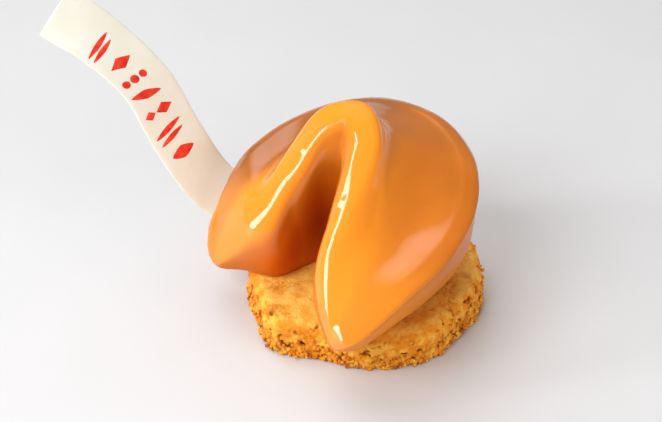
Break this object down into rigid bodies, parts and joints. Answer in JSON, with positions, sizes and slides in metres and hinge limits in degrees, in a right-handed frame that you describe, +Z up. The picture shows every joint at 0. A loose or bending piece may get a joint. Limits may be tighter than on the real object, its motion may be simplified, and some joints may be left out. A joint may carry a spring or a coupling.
{
  "type": "fortune cookie cake",
  "caption": "Caramel-glazed cake shaped like a fortune cookie, with two horns and a raised rim, on a round shortbread, with a curved chocolate slip tucked under one rim.",
  "frame": {"origin": "middle of the shortbread's flat underside, which rests on the table", "axes": "+Z up; the cookie's two horns point to -Y and its closed back to +Y; the lobe that holds the slip is on the -X side"},
  "size_m": [0.0913, 0.0838, 0.0798],
  "materials": {
    "biscuit": "baked, crumbly, matt",
    "glaze": "wet, mirror-gloss caramel glaze",
    "slip": "satin white chocolate with red painted marks"
  },
  "bodies": {
    "root": {"biscuit_base": "biscuit", "glazed_cookie": "glaze", "fortune_slip": "slip"}
  },
  "joints": []
}
